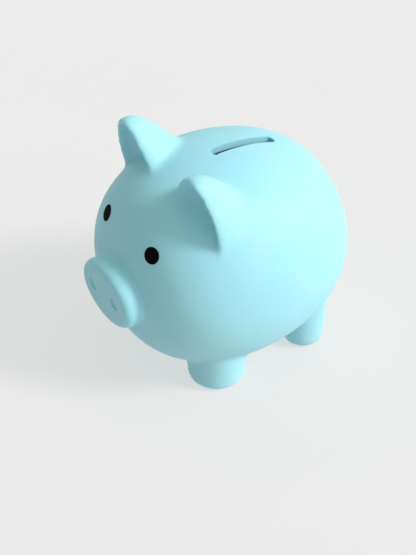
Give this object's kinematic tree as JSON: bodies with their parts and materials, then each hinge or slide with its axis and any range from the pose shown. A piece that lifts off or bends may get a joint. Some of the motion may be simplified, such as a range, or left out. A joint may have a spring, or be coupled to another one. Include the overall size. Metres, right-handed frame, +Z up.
{
  "type": "piggy bank",
  "caption": "Round soft-vinyl coin bank shaped as a standing pig, with a coin slot in its back and a pull-out plug in its belly.",
  "frame": {"origin": "on the floor plane under the middle of the whole pig", "axes": "the pig faces -Y, its left side is +X, and +Z is up"},
  "size_m": [0.1036, 0.1211, 0.1208],
  "materials": {
    "vinyl": "soft matt moulded vinyl in pale cyan",
    "plug": "soft milky moulded plastic",
    "eye_ink": "pad-printed black ink"
  },
  "bodies": {
    "bank": {"body_shell": "vinyl", "eye_left": "eye_ink", "eye_right": "eye_ink"},
    "plug": {"belly_stopper": "plug"}
  },
  "joints": [
    {"name": "stopper_pull", "type": "slide", "parent": "bank", "child": "plug", "axis": [0, 0, -1], "range_m": [0, 0.025]}
  ]
}
